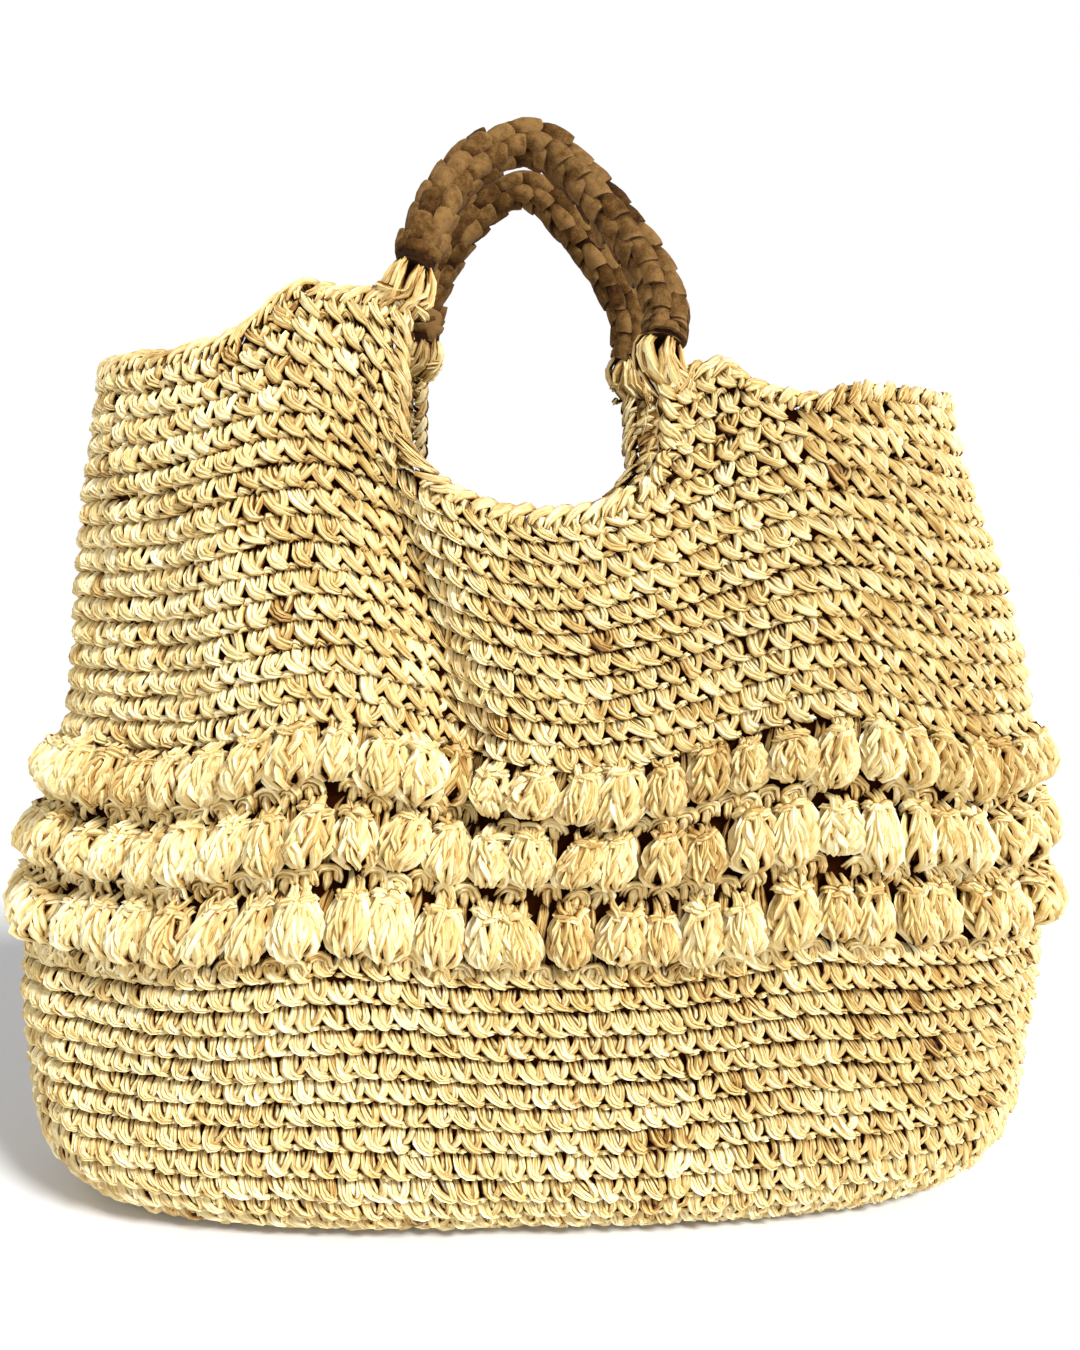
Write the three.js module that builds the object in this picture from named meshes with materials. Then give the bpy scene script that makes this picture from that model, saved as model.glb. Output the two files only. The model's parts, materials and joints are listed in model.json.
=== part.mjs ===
// A raffia beach tote: crocheted rounds on an oval base, three bobble rounds and two plaited leather handles.
// Millimetres, +Z up, front towards -Y. The origin is the middle of the flat underside of the base.
import * as THREE from 'three';
import { LoftGeometry } from 'three/addons/geometries/LoftGeometry.js';

// Driving dimensions of the body. Half sizes are measured on the outer face of the crochet.
const BASE_HALF_WIDTH = 190;
const BASE_HALF_DEPTH = 58;
const TURN_OUT_SIDE = 42; // how far the wall swells past the base at the sides
const TURN_OUT_FRONT = 22; // and at the front and back
const TURN_RISE = 45; // height over which the wall turns up from flat to upright
const TURN_LENGTH = 60; // cloth used by that turn
const WALL = 6; // crochet thickness
const TAPER_START = 80; // height where the sides start to draw in towards the mouth
const TAPER_SOFT = 40;
const WIDTH_TAPER = 0.168; // half width lost per millimetre of height
const DEPTH_TAPER = 0.062;
const BASE_SQUARENESS = 2.7; // superellipse power of the plan at the base, 2 is an ellipse
const MOUTH_SQUARENESS = 2.05;
const BODY_HEIGHT = 350; // height at which the plan reaches its mouth shape
const LEAN = 7; // sideways slump of the middle of the body
const LEAN_HEIGHT = 215;
const LEAN_SPREAD = 60;
// How much further in the two ends stand, at their foot, all the way up and at the mouth.
const LEFT_IN = { foot: 6, middle: 3, mouth: 6.5 };
const RIGHT_IN = { foot: 12, middle: 3, mouth: 8.5 };
const MOUTH_MIDDLE = -4.5; // x of the middle of the mouth, which leans sideways with its handles

// The rounds, as lengths of cloth measured up the wall from the edge of the base.
const LOWER_LENGTH = 134;
const BOBBLE_LENGTH = 24;
const SPACER_LENGTH = 6;
const UPPER_LENGTH = 109;
const BOBBLE_OUT = 11; // how far a bobble round stands out of the wall

// The rounds are pulled up below the handles and sag between them.
const LIFT = 14;
const LIFT_MIDDLE = 10; // x midway between the two lifts
const LIFT_AT = 98; // distance of each lift from there
const LIFT_SPREAD = 45;
const LIFT_FULL = 190; // height at which the lift is complete
const SAG = 19;
const SAG_SPREAD = 55;
const SAG_START = 150;
const SAG_FULL = 312;

// Mouth edge of the two side wings, as heights above the rim and distances out from the ears.
const LEFT_SIDE_RISE = 44;
const LEFT_SLOPE = 87; // the left ear slopes down to the side over this distance
const LEFT_SHOULDER = { out: 32, width: 14, rise: 9 };
const RIGHT_SIDE_RISE = 32;
const RIGHT_SLOPE = 43;
const RIGHT_SHOULDER = { out: 15, width: 8, rise: 9 };
const RIGHT_DIP = { out: 49, width: 16, rise: -6 };
const EDGE_WIDTH = 4.5; // chain edging round the mouth and the hand openings

// Handles.
const HANDLE_HALF_SPAN = 50;
const HANDLE_RISE = 82; // centre line above the hinge axis at the crown
const CROWN_PINCH = 0.4; // narrows the top of the bow
const COVER_RADIUS = 9.5;
const CORE_RADIUS = 4;
const COLLAR_RADIUS = 10.3;
const COLLAR_LENGTH = 11;
const COLLAR_FOOT_RADIUS = 8; // the collar tapers to its foot, which clears the ear when the handle is down
const COLLAR_TAPER = 4;
const LASHING_RADIUS = 5;
const LASHING_LENGTH = 22;
// `ear` is how high above the rim a handle's ears stand on average. The right ear is lower, so the handle is
// tilted. The front handle leans inwards towards the other one, and both crowns are skewed sideways.
const FRONT = {
  face: -1, ear: 48, lean: THREE.MathUtils.degToRad(25), tilt: THREE.MathUtils.degToRad(15.5), skew: -18,
};
const BACK = { face: 1, ear: 50, lean: 0, tilt: THREE.MathUtils.degToRad(4.5), skew: -8 };

// Fits and mesh fineness.
const GAP = 0.3;
const ROUND_GAP = 1; // between neighbouring rounds, whose faces twist a little between sections
const OPENING_GAP = 1.5; // between an ear's end, which is cut off flat, and the edging beside it
const AROUND = 76; // sections round the body
const CROWDING = 0.1; // crowds the sections towards the long front and back faces
const EAR_STEP = 4; // sections from the middle of a face to the side of its hand opening
const BOBBLE_ROWS = 4;
const WING_ROWS = 4; // sections up a wing, shared with the edging beside it
const HANDLE_STEPS = 20;
const ROUND_SIDES = 12;

const RAFFIA = new THREE.MeshStandardMaterial({ color: 0xd8b97a, roughness: 0.75, metalness: 0 });
const LEATHER = new THREE.MeshStandardMaterial({ color: 0x7d5832, roughness: 0.9, metalness: 0 });
const CORD = new THREE.MeshStandardMaterial({ color: 0xcfc4ad, roughness: 0.95, metalness: 0 });

// Soft folds of the standing bag: face -1 is the front, +1 the back. A fold runs from x = low at the height
// `from` to x = high at the height `to`, and pushes the wall outwards by `out`, or inwards when negative.
const FOLDS = [
  { face: -1, low: -38, high: -56, width: 13, out: -11, from: 190, to: 290, fade: 45 },
  { face: -1, low: -108, high: -112, width: 50, out: 14, from: 130, to: 300, fade: 90 },
  { face: -1, low: 68, high: 62, width: 16, out: -5, from: 210, to: 310, fade: 50 },
  { face: -1, low: 112, high: 120, width: 48, out: 6, from: 150, to: 300, fade: 90 },
  { face: 1, low: 30, high: 54, width: 16, out: -7, from: 200, to: 300, fade: 50 },
  { face: 1, low: -92, high: -100, width: 52, out: 8, from: 140, to: 300, fade: 90 },
  { face: 1, low: 118, high: 112, width: 46, out: 6, from: 150, to: 300, fade: 90 },
];

const bell = (distance, width) => Math.exp(-((distance / width) ** 2));
const { smoothstep, lerp, clamp } = THREE.MathUtils;

function foldOut(x, height, upright) {
  let out = 0;
  for (const fold of FOLDS) {
    const along = clamp((height - fold.from) / (fold.to - fold.from), 0, 1);
    const centre = lerp(fold.low, fold.high, along);
    const risen = smoothstep(height, fold.from - fold.fade, fold.from);
    const faded = 1 - smoothstep(height, fold.to, fold.to + fold.fade);
    const onFace = smoothstep(fold.face * upright, 0, 0.5);
    out += fold.out * bell(x - centre, fold.width) * risen * faded * onFace;
  }
  return out;
}

function drawnIn(height, c) {
  const { foot, middle, mouth } = c < 0 ? LEFT_IN : RIGHT_IN;
  const share = foot * (1 - smoothstep(height, 20, 140)) + middle + mouth * smoothstep(height, 255, 370);
  return Math.sign(c) * share * smoothstep(Math.abs(c), 0.3, 1);
}

// The outer face of the crochet: `turn` is the angle round the plan from +X, `cloth` the length up the wall.
function outerPoint(turn, cloth) {
  const swing = Math.min(Math.max(cloth, 0) / TURN_LENGTH, 1) * Math.PI / 2;
  const height = TURN_RISE * (1 - Math.cos(swing)) + Math.max(cloth - TURN_LENGTH, 0);
  const above = Math.max(height - TAPER_START, 0);
  const drawn = above ** 2 / (above + TAPER_SOFT);
  const halfWidth = BASE_HALF_WIDTH + TURN_OUT_SIDE * Math.sin(swing) - WIDTH_TAPER * drawn;
  const halfDepth = BASE_HALF_DEPTH + TURN_OUT_FRONT * Math.sin(swing) - DEPTH_TAPER * drawn;
  const power = lerp(BASE_SQUARENESS, MOUTH_SQUARENESS, smoothstep(height, 0, BODY_HEIGHT));
  const c = Math.cos(turn);
  const s = Math.sin(turn);
  const reach = (Math.abs(c) ** power + Math.abs(s) ** power) ** (-1 / power);
  const x = halfWidth * reach * c - drawnIn(height, c);
  const y = halfDepth * reach * s + Math.sign(s) * foldOut(x, height, s);
  const lifted = LIFT * smoothstep(height, 0, LIFT_FULL);
  const lift = lifted * bell(Math.abs(x - LIFT_MIDDLE) - LIFT_AT, LIFT_SPREAD);
  const sag = SAG * Math.max(height - SAG_START, 0) / (SAG_FULL - SAG_START) * bell(x, SAG_SPREAD);
  const slump = LEAN * bell(height - LEAN_HEIGHT, LEAN_SPREAD) + MOUTH_MIDDLE * smoothstep(height, 255, 340);
  return new THREE.Vector3(x + slump, y, height + lift - sag);
}

function frameAt(turn, cloth) {
  const step = 0.02;
  const point = outerPoint(turn, cloth);
  const around = outerPoint(turn + step, cloth).sub(outerPoint(turn - step, cloth)).normalize();
  const up = outerPoint(turn, cloth + 1).sub(outerPoint(turn, Math.max(cloth - 1, 0))).normalize();
  const outward = new THREE.Vector3().crossVectors(around, up);
  outward.z *= 1 - Math.min(cloth / TURN_LENGTH, 1); // an upright wall is measured across its level section
  return { point, around, up, outward: outward.normalize() };
}

function wallPoint(turn, cloth, outwards) {
  const at = frameAt(turn, cloth);
  return at.point.addScaledVector(at.outward, outwards);
}

// The angle of section `step`, counted from the middle of the right-hand side.
function turnOf(step) {
  const even = step / AROUND * Math.PI * 2;
  return even + CROWDING * Math.sin(2 * even);
}

// Cloth length at which the wall passes the height z at the angle `turn`.
function clothAt(turn, z) {
  let low = 0;
  let high = 2 * BODY_HEIGHT;
  for (let i = 0; i < 40; i++) {
    const middle = (low + high) / 2;
    if (outerPoint(turn, middle).z < z) low = middle;
    else high = middle;
  }
  return low;
}

function wingTop(turn) {
  const { x, y } = outerPoint(turn, TOP_OF_UPPER);
  const across = x - MOUTH_MIDDLE;
  const out = Math.abs(across) - EAR_FLAT;
  const [side, slope, waves, share] = across < 0
    ? [LEFT_SIDE_RISE, LEFT_SLOPE, [LEFT_SHOULDER], 1]
    : [RIGHT_SIDE_RISE, RIGHT_SLOPE, [RIGHT_SHOULDER, RIGHT_DIP], smoothstep(-y, 0, BASE_HALF_DEPTH / 2)];
  const { ear, tilt } = y < 0 ? FRONT : BACK;
  const top = ear - Math.tan(tilt) * clamp(across, -EAR_FLAT, EAR_FLAT);
  const rise = lerp(top, side, smoothstep(out, 0, slope));
  const waved = waves.reduce((sum, wave) => sum + wave.rise * bell(out - wave.out, wave.width), 0);
  return clothAt(turn, RIM_HEIGHT + rise + waved * share);
}

function closedRing(sectionAt) {
  const sections = [];
  for (let step = 0; step <= AROUND; step++) sections.push(sectionAt(step % AROUND));
  return new LoftGeometry(sections);
}

function openStrip(sections) {
  return new LoftGeometry(sections, { capStart: true, capEnd: true });
}

// One section through the wall from `low` to `high`.
function wallSection(turn, low, high, rows) {
  const outside = [];
  const inside = [];
  for (let row = 0; row <= rows; row++) {
    const cloth = lerp(low, high, row / rows);
    outside.push(wallPoint(turn, cloth, 0));
    inside.push(wallPoint(turn, cloth, -WALL));
  }
  return [...outside.reverse(), ...inside];
}

// A bobble round's section: round outside, flat inside.
function bobbleSection(turn, low, high) {
  const section = [wallPoint(turn, low, -WALL), wallPoint(turn, high, -WALL)];
  for (let row = BOBBLE_ROWS; row >= 0; row--) {
    const share = row / BOBBLE_ROWS;
    section.push(wallPoint(turn, lerp(low, high, share), BOBBLE_OUT * Math.sin(Math.PI * share)));
  }
  return section;
}

const TOP_OF_LOWER = LOWER_LENGTH;
const ROUND_PITCH = BOBBLE_LENGTH + SPACER_LENGTH;
const TOP_OF_BOBBLES = TOP_OF_LOWER + 3 * BOBBLE_LENGTH + 2 * SPACER_LENGTH;
const TOP_OF_UPPER = TOP_OF_BOBBLES + UPPER_LENGTH;
const WING_FOOT = TOP_OF_UPPER + ROUND_GAP / 2;
const RIM_HEIGHT = TURN_RISE + TOP_OF_UPPER - TURN_LENGTH;
const EAR_FLAT = HANDLE_HALF_SPAN + LASHING_LENGTH / 2 + 2; // an ear's top is level out to here

function basePanel() {
  const outline = [];
  for (let step = 0; step < AROUND; step++) {
    const { point, up } = frameAt(turnOf(step), 0);
    point.addScaledVector(up, -GAP);
    outline.push(new THREE.Vector2(point.x, point.y));
  }
  return new THREE.ExtrudeGeometry(new THREE.Shape(outline), { depth: WALL, bevelEnabled: false });
}

function wallRound(low, high, rows) {
  return closedRing((step) => wallSection(turnOf(step), low + ROUND_GAP / 2, high - ROUND_GAP / 2, rows));
}

function bobbleRound(low) {
  const high = low + BOBBLE_LENGTH;
  return closedRing((step) => bobbleSection(turnOf(step), low + ROUND_GAP / 2, high - ROUND_GAP / 2));
}

// A wing is the part of the wall beside the hand openings, from the front round the side to the back.
function wingSteps(side) {
  const middle = side < 0 ? AROUND / 2 : AROUND;
  const half = AROUND / 4 - EAR_STEP;
  return Array.from({ length: 2 * half + 1 }, (_, i) => middle - half + i);
}

function wing(side) {
  return openStrip(wingSteps(side).map((step) => {
    const turn = turnOf(step);
    return wallSection(turn, WING_FOOT, wingTop(turn), WING_ROWS);
  }));
}

function wingEdging(side) {
  return openStrip(wingSteps(side).map((step) => {
    const turn = turnOf(step);
    const top = wingTop(turn);
    return wallSection(turn, top + ROUND_GAP, top + EDGE_WIDTH, 1);
  }));
}

// The edging of a hand opening runs down one ear, along the rim and up the other ear.
function openingEdging(face) {
  const middle = face < 0 ? AROUND * 3 / 4 : AROUND / 4;
  const rim = TOP_OF_UPPER;
  const route = [];
  for (const end of [-1, 1]) {
    const step = middle + end * EAR_STEP;
    const top = wingTop(turnOf(step));
    const side = [{ step, cloth: top + EDGE_WIDTH, inwards: -end, upwards: 0 }];
    for (let row = WING_ROWS; row > 0; row--) {
      side.push({ step, cloth: lerp(WING_FOOT, top, row / WING_ROWS), inwards: -end, upwards: 0 });
    }
    side.push({ step, cloth: rim, inwards: -end, upwards: 1 });
    if (end > 0) side.reverse();
    route.push(side);
  }
  const bottom = [];
  for (let i = 1 - EAR_STEP; i < EAR_STEP; i++) {
    bottom.push({ step: middle + i, cloth: rim, inwards: 0, upwards: 1 });
  }
  const corners = [...route[0], ...bottom, ...route[1]];
  return openStrip(corners.map(({ step, cloth, inwards, upwards }) => {
    const { point, around, up, outward } = frameAt(turnOf(step), cloth);
    const across = around.multiplyScalar(inwards).addScaledVector(up, upwards);
    const near = point.clone().addScaledVector(across, OPENING_GAP);
    const far = point.clone().addScaledVector(across, EDGE_WIDTH);
    const back = outward.clone().multiplyScalar(-WALL);
    return [far, near, near.clone().add(back), far.clone().add(back)];
  }));
}

// A handle stands in its own XZ plane with the hinge axis on X.
// Its crown is a pinched half ellipse on top of the collars, with its top moved sideways by `skew`.
class Crown extends THREE.Curve {
  constructor(skew) {
    super();
    this.skew = skew;
  }

  getPoint(t, target = new THREE.Vector3()) {
    const foot = LASHING_RADIUS + GAP + COLLAR_LENGTH + GAP;
    const angle = Math.PI * (1 - t);
    const c = Math.cos(angle);
    const rising = Math.sin(angle) ** 1.5;
    const bow = HANDLE_HALF_SPAN * c * (1 - CROWN_PINCH * rising);
    const x = bow + this.skew * rising * (1 + 0.6 * c ** 2);
    return target.set(x, 0, foot + (HANDLE_RISE - foot) * Math.sin(angle));
  }
}

function disc(radius, hole = 0) {
  const shape = new THREE.Shape();
  shape.absarc(0, 0, radius, 0, Math.PI * 2);
  if (hole > 0) {
    const bore = new THREE.Path();
    bore.absarc(0, 0, hole, 0, Math.PI * 2, true);
    shape.holes.push(bore);
  }
  return shape;
}

function alongCrown(shape, skew) {
  const options = { steps: HANDLE_STEPS, extrudePath: new Crown(skew), curveSegments: ROUND_SIDES / 2 };
  return new THREE.ExtrudeGeometry(shape, options);
}

// A solid of revolution about Y from [radius, height] pairs that start and end on the axis.
function turned(profile) {
  return new THREE.LatheGeometry(profile.map(([r, y]) => new THREE.Vector2(r, y)), ROUND_SIDES);
}

function collar() {
  const foot = [[0, 0], [COLLAR_FOOT_RADIUS, 0], [COLLAR_RADIUS, COLLAR_TAPER]];
  return turned([...foot, [COLLAR_RADIUS, COLLAR_LENGTH], [0, COLLAR_LENGTH]]).rotateX(Math.PI / 2);
}

// The raffia lashing that ties a handle end to its ear is a round roll on the hinge axis.
function lashing() {
  const end = LASHING_LENGTH / 2;
  const neck = end - LASHING_RADIUS / 2;
  const tip = LASHING_RADIUS / 2;
  const lower = [[0, -end], [tip, -end], [LASHING_RADIUS, -neck]];
  const upper = [[LASHING_RADIUS, neck], [tip, end], [0, end]];
  return turned([...lower, ...upper]).rotateZ(Math.PI / 2);
}

function named(name, geometry, material) {
  const mesh = new THREE.Mesh(geometry, material);
  mesh.name = name;
  return mesh;
}

// The hinge axis runs through the middle of the wall, just clear of the ears' edging.
function hingeHeight({ ear, tilt }) {
  return RIM_HEIGHT + ear + EDGE_WIDTH + GAP + LASHING_RADIUS / Math.cos(tilt);
}

function hingeDepth({ face }) {
  const middle = face < 0 ? AROUND * 3 / 4 : AROUND / 4;
  const [left, right] = [middle - EAR_STEP, middle + EAR_STEP].map((step) => {
    const turn = turnOf(step);
    return outerPoint(turn, wingTop(turn)).y;
  });
  return (left + right) / 2 - face * WALL / 2;
}

function handle(prefix, end) {
  const { face, lean, tilt, skew } = end;
  const group = new THREE.Group();
  group.position.set(MOUTH_MIDDLE, hingeDepth(end), hingeHeight(end));
  group.rotation.set(face * lean, tilt, 0, 'YXZ');
  group.add(named(prefix + '_handle_core', alongCrown(disc(CORE_RADIUS), skew), CORD));
  const sleeve = disc(COVER_RADIUS, CORE_RADIUS + GAP);
  group.add(named(prefix + '_handle_cover', alongCrown(sleeve, skew), LEATHER));
  for (const [side, x] of [['left', -HANDLE_HALF_SPAN], ['right', HANDLE_HALF_SPAN]]) {
    const collarMesh = named(`${prefix}_${side}_collar`, collar(), LEATHER);
    collarMesh.position.set(x, 0, LASHING_RADIUS + GAP);
    const lashingMesh = named(`${prefix}_${side}_lashing`, lashing(), RAFFIA);
    lashingMesh.position.set(x, 0, 0);
    group.add(collarMesh, lashingMesh);
  }
  return group;
}

const bag = new THREE.Group();
bag.add(named('base_panel', basePanel(), RAFFIA));
bag.add(named('lower_wall', wallRound(0, TOP_OF_LOWER, 5), RAFFIA));
for (let i = 0; i < 3; i++) {
  const low = TOP_OF_LOWER + i * ROUND_PITCH;
  bag.add(named('bobble_round_' + (i + 1), bobbleRound(low), RAFFIA));
  if (i < 2) {
    const spacer = wallRound(low + BOBBLE_LENGTH, low + ROUND_PITCH, 1);
    bag.add(named('spacer_round_' + (i + 1), spacer, RAFFIA));
  }
}
bag.add(named('upper_wall', wallRound(TOP_OF_BOBBLES, TOP_OF_UPPER, 3), RAFFIA));
bag.add(named('left_wing', wing(-1), RAFFIA));
bag.add(named('right_wing', wing(1), RAFFIA));
bag.add(named('left_mouth_edging', wingEdging(-1), RAFFIA));
bag.add(named('right_mouth_edging', wingEdging(1), RAFFIA));
bag.add(named('front_opening_edging', openingEdging(-1), RAFFIA));
bag.add(named('back_opening_edging', openingEdging(1), RAFFIA));
bag.add(handle('front', FRONT));
bag.add(handle('back', BACK));

export default bag;
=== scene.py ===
"""A crocheted raffia beach tote with plaited suede handles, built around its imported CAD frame.

The crochet is made strand by strand: each stitch is a few creased raffia ribbons laid on the bag's outer
surface, which repeats the CAD model's formula. Shapes are in millimetres and become metres in new_piece.
"""
import json
import math
from collections import namedtuple

import bpy
import numpy as np
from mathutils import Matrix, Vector


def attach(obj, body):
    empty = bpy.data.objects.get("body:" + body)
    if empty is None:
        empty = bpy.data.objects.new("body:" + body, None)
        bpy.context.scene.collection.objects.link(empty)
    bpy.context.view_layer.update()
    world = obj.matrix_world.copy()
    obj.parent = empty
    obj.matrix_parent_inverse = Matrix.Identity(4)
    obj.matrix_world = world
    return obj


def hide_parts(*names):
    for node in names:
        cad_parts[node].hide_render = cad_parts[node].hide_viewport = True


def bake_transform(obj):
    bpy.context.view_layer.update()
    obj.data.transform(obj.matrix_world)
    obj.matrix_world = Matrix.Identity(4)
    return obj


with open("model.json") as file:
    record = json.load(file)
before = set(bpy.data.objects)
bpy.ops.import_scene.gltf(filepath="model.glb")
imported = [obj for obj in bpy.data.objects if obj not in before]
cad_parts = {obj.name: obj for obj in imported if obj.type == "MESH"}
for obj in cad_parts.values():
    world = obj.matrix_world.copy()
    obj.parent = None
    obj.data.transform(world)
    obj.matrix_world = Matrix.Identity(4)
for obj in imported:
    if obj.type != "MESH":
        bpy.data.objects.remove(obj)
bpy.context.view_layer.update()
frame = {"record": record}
rng = np.random.default_rng(7)
MM = 0.001

# The bag's body, as in the CAD model.
BASE_HALF_WIDTH, BASE_HALF_DEPTH = 190.0, 58.0
TURN_OUT_SIDE, TURN_OUT_FRONT = 42.0, 22.0
TURN_RISE, TURN_LENGTH = 45.0, 60.0
TAPER_START, TAPER_SOFT, WIDTH_TAPER, DEPTH_TAPER = 80.0, 40.0, 0.168, 0.062
BASE_SQUARENESS, MOUTH_SQUARENESS, BODY_HEIGHT = 2.7, 2.05, 350.0
LEAN, LEAN_HEIGHT, LEAN_SPREAD = 7.0, 215.0, 60.0
LOWER_LENGTH, BOBBLE_LENGTH, SPACER_LENGTH, UPPER_LENGTH = 134.0, 24.0, 6.0, 109.0
LIFT, LIFT_MIDDLE, LIFT_AT, LIFT_SPREAD, LIFT_FULL = 14.0, 10.0, 98.0, 45.0, 190.0
LEFT_IN, RIGHT_IN = (6.0, 3.0, 6.5), (12.0, 3.0, 8.5)  # at the foot, all the way up and at the mouth
MOUTH_MIDDLE = -4.5
SAG, SAG_SPREAD, SAG_START, SAG_FULL = 19.0, 55.0, 150.0, 312.0
LEFT_SIDE_RISE, LEFT_SLOPE, LEFT_SHOULDER = 44.0, 87.0, (32.0, 14.0, 9.0)
RIGHT_SIDE_RISE, RIGHT_SLOPE, RIGHT_SHOULDER, RIGHT_DIP = 32.0, 43.0, (15.0, 8.0, 9.0), (49.0, 16.0, -6.0)
EAR_FILL = (3.5, 6.0, 6.5)  # strands piled up beside the right front ear
HANDLE_HALF_SPAN, HANDLE_RISE, LASHING_RADIUS, LASHING_LENGTH = 50.0, 82.0, 5.0, 22.0
COLLAR_LENGTH, COVER_RADIUS, GAP = 11.0, 9.5, 0.3
# Each handle: the face it is on, its lean inwards, its tilt, the skew of its crown and its ears' rise.
Handle = namedtuple("Handle", "face lean tilt skew ear")
HANDLES = {
    "front": Handle(-1, math.radians(25), math.radians(15.5), -18.0, 48.0),
    "back": Handle(1, 0.0, math.radians(4.5), -8.0, 50.0),
}
CROWN_PINCH = 0.4
# Soft folds: face, x low, x high, width, out, from height, to height, fade.
FOLDS = (
    (-1, -38, -56, 13, -11, 190, 290, 45),
    (-1, -108, -112, 50, 14, 130, 300, 90),
    (-1, 68, 62, 16, -5, 210, 310, 50),
    (-1, 112, 120, 48, 6, 150, 300, 90),
    (1, 30, 54, 16, -7, 200, 300, 50),
    (1, -92, -100, 52, 8, 140, 300, 90),
    (1, 118, 112, 46, 6, 150, 300, 90),
)
ROUND_PITCH = BOBBLE_LENGTH + SPACER_LENGTH
TOP_OF_BOBBLES = LOWER_LENGTH + 3 * BOBBLE_LENGTH + 2 * SPACER_LENGTH
TOP_OF_UPPER = TOP_OF_BOBBLES + UPPER_LENGTH
RIM_HEIGHT = TURN_RISE + TOP_OF_UPPER - TURN_LENGTH
EAR_FLAT = HANDLE_HALF_SPAN + LASHING_LENGTH / 2 + 2

# The crochet.
STITCH = 9.4  # stitch pitch along a round
ROW = 9.6  # height of a round
BASE_MIDDLE = -56.0  # cloth length of the innermost round of the base
BASE_ROUNDS, LOWER_ROUNDS, UPPER_ROUNDS = 6, 14, 11
LOWER_FILL, UPPER_FILL = 0.82, 0.95  # below 1, gaps open between the rounds
BOBBLES = 60
BOBBLE_HALF_WIDTH, BOBBLE_HALF_HEIGHT, BOBBLE_DEPTH = 7.3, 12.4, 10.0
OPENING_TURN = 15.4  # degrees from the middle of a face to the side of its hand opening


def smoothstep(x, low, high):
    t = np.clip((x - low) / (high - low), 0, 1)
    return t * t * (3 - 2 * t)


def bell(distance, width):
    return np.exp(-((distance / width) ** 2))


def humps(distance, places):
    """Soft rises, each given as where it is, its width and its height."""
    return sum(rise * bell(distance - at, width) for at, width, rise in places)


def unit(vectors):
    return vectors / (np.linalg.norm(vectors, axis=-1, keepdims=True) + 1e-9)


def length_along(path):
    """The length from the first point of a path to each of its points."""
    return np.concatenate([[0], np.cumsum(np.linalg.norm(np.diff(path, axis=0), axis=1))])


def fold_out(x, height, upright):
    out = np.zeros(np.broadcast(x, height, upright).shape)
    for face, low, high, width, push, start, end, fade in FOLDS:
        along = np.clip((height - start) / (end - start), 0, 1)
        centre = low + (high - low) * along
        strength = smoothstep(height, start - fade, start) * (1 - smoothstep(height, end, end + fade))
        out += push * bell(x - centre, width) * strength * smoothstep(face * upright, 0, 0.5)
    return out


def outer_point(turn, cloth):
    """The crochet's outer face: turn round the plan from +X, cloth up the wall, below 0 in the base."""
    turn, cloth = np.broadcast_arrays(turn, cloth)
    swing = np.clip(cloth / TURN_LENGTH, 0, 1) * np.pi / 2
    height = TURN_RISE * (1 - np.cos(swing)) + np.maximum(cloth - TURN_LENGTH, 0)
    above = np.maximum(height - TAPER_START, 0)
    drawn = above**2 / (above + TAPER_SOFT)
    half_width = BASE_HALF_WIDTH + TURN_OUT_SIDE * np.sin(swing) - WIDTH_TAPER * drawn
    half_depth = BASE_HALF_DEPTH + TURN_OUT_FRONT * np.sin(swing) - DEPTH_TAPER * drawn
    blend = smoothstep(height, 0, BODY_HEIGHT)
    power = BASE_SQUARENESS + (MOUTH_SQUARENESS - BASE_SQUARENESS) * blend
    c, s = np.cos(turn), np.sin(turn)
    reach = (np.abs(c) ** power + np.abs(s) ** power) ** (-1 / power)
    foot, middle, top = (np.where(c < 0, a, b) for a, b in zip(LEFT_IN, RIGHT_IN))
    drawn_in = foot * (1 - smoothstep(height, 20, 140)) + middle + top * smoothstep(height, 255, 370)
    x = half_width * reach * c - np.sign(c) * drawn_in * smoothstep(np.abs(c), 0.3, 1)
    y = half_depth * reach * s + np.sign(s) * fold_out(x, height, s)
    lift = LIFT * smoothstep(height, 0, LIFT_FULL) * bell(np.abs(x - LIFT_MIDDLE) - LIFT_AT, LIFT_SPREAD)
    sag = SAG * np.maximum(height - SAG_START, 0) / (SAG_FULL - SAG_START) * bell(x, SAG_SPREAD)
    z = height + lift - sag
    x = x + LEAN * bell(height - LEAN_HEIGHT, LEAN_SPREAD) + MOUTH_MIDDLE * smoothstep(height, 255, 340)
    inset = np.clip(-cloth / BASE_HALF_DEPTH, 0, 0.999)
    spine = BASE_HALF_WIDTH - BASE_HALF_DEPTH
    middle = np.clip(x, -spine, spine)
    x = x + (middle - x) * inset
    y = y * (1 - inset)
    return np.stack([x, y, z], -1)


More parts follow.
